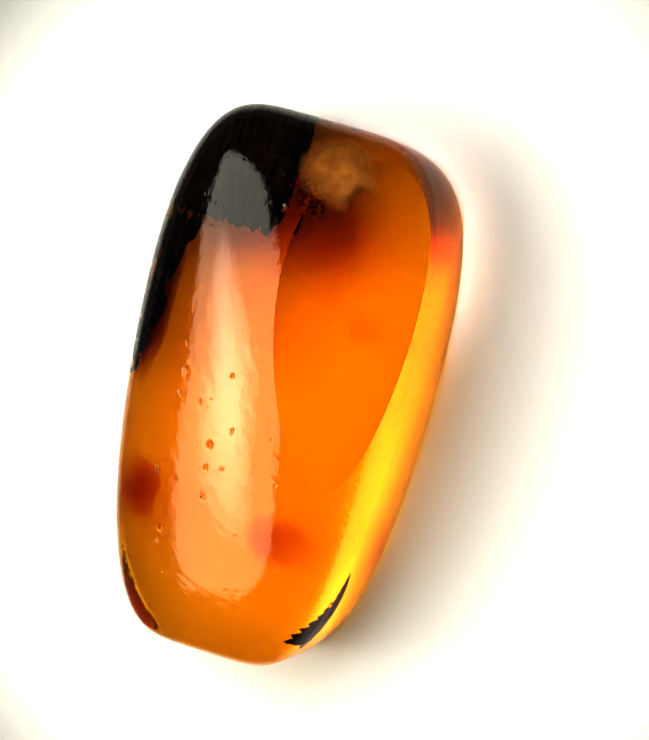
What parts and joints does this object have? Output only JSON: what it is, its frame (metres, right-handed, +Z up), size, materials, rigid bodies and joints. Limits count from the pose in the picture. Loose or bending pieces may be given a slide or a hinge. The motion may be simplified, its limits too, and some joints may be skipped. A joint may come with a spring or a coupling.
{
  "type": "plant inclusions in amber",
  "caption": "Polished clear amber pebble with a flat base and a leaning crown; bark, a bud scale, a leaf sliver and wood crumbs are sealed inside.",
  "frame": {"origin": "middle of the flat base, on the surface that the stone lies on", "axes": "+Z up through the crown, +Y along the length to the thick end with the dark bark, +X to the steep side"},
  "size_m": [0.016, 0.0282, 0.0086],
  "materials": {
    "amber": "polished clear orange amber",
    "bark": "blackened fibrous bark",
    "bud_scale": "dull tan plant scale",
    "leaf": "dark brown leaf, dull",
    "humus": "resin-soaked decayed plant matter, dark red-brown",
    "wood_crumb": "resin-soaked wood, red-brown"
  },
  "bodies": {
    "root": {"amber_upper": "amber", "amber_lower": "amber", "bark_fragment": "bark", "bark_strip": "bark", "bud_scale": "bud_scale", "leaf_sliver": "leaf", "humus_clump": "humus", "wood_crumb_right": "wood_crumb", "wood_crumb_left": "wood_crumb", "wood_crumb_low": "wood_crumb"}
  },
  "joints": []
}
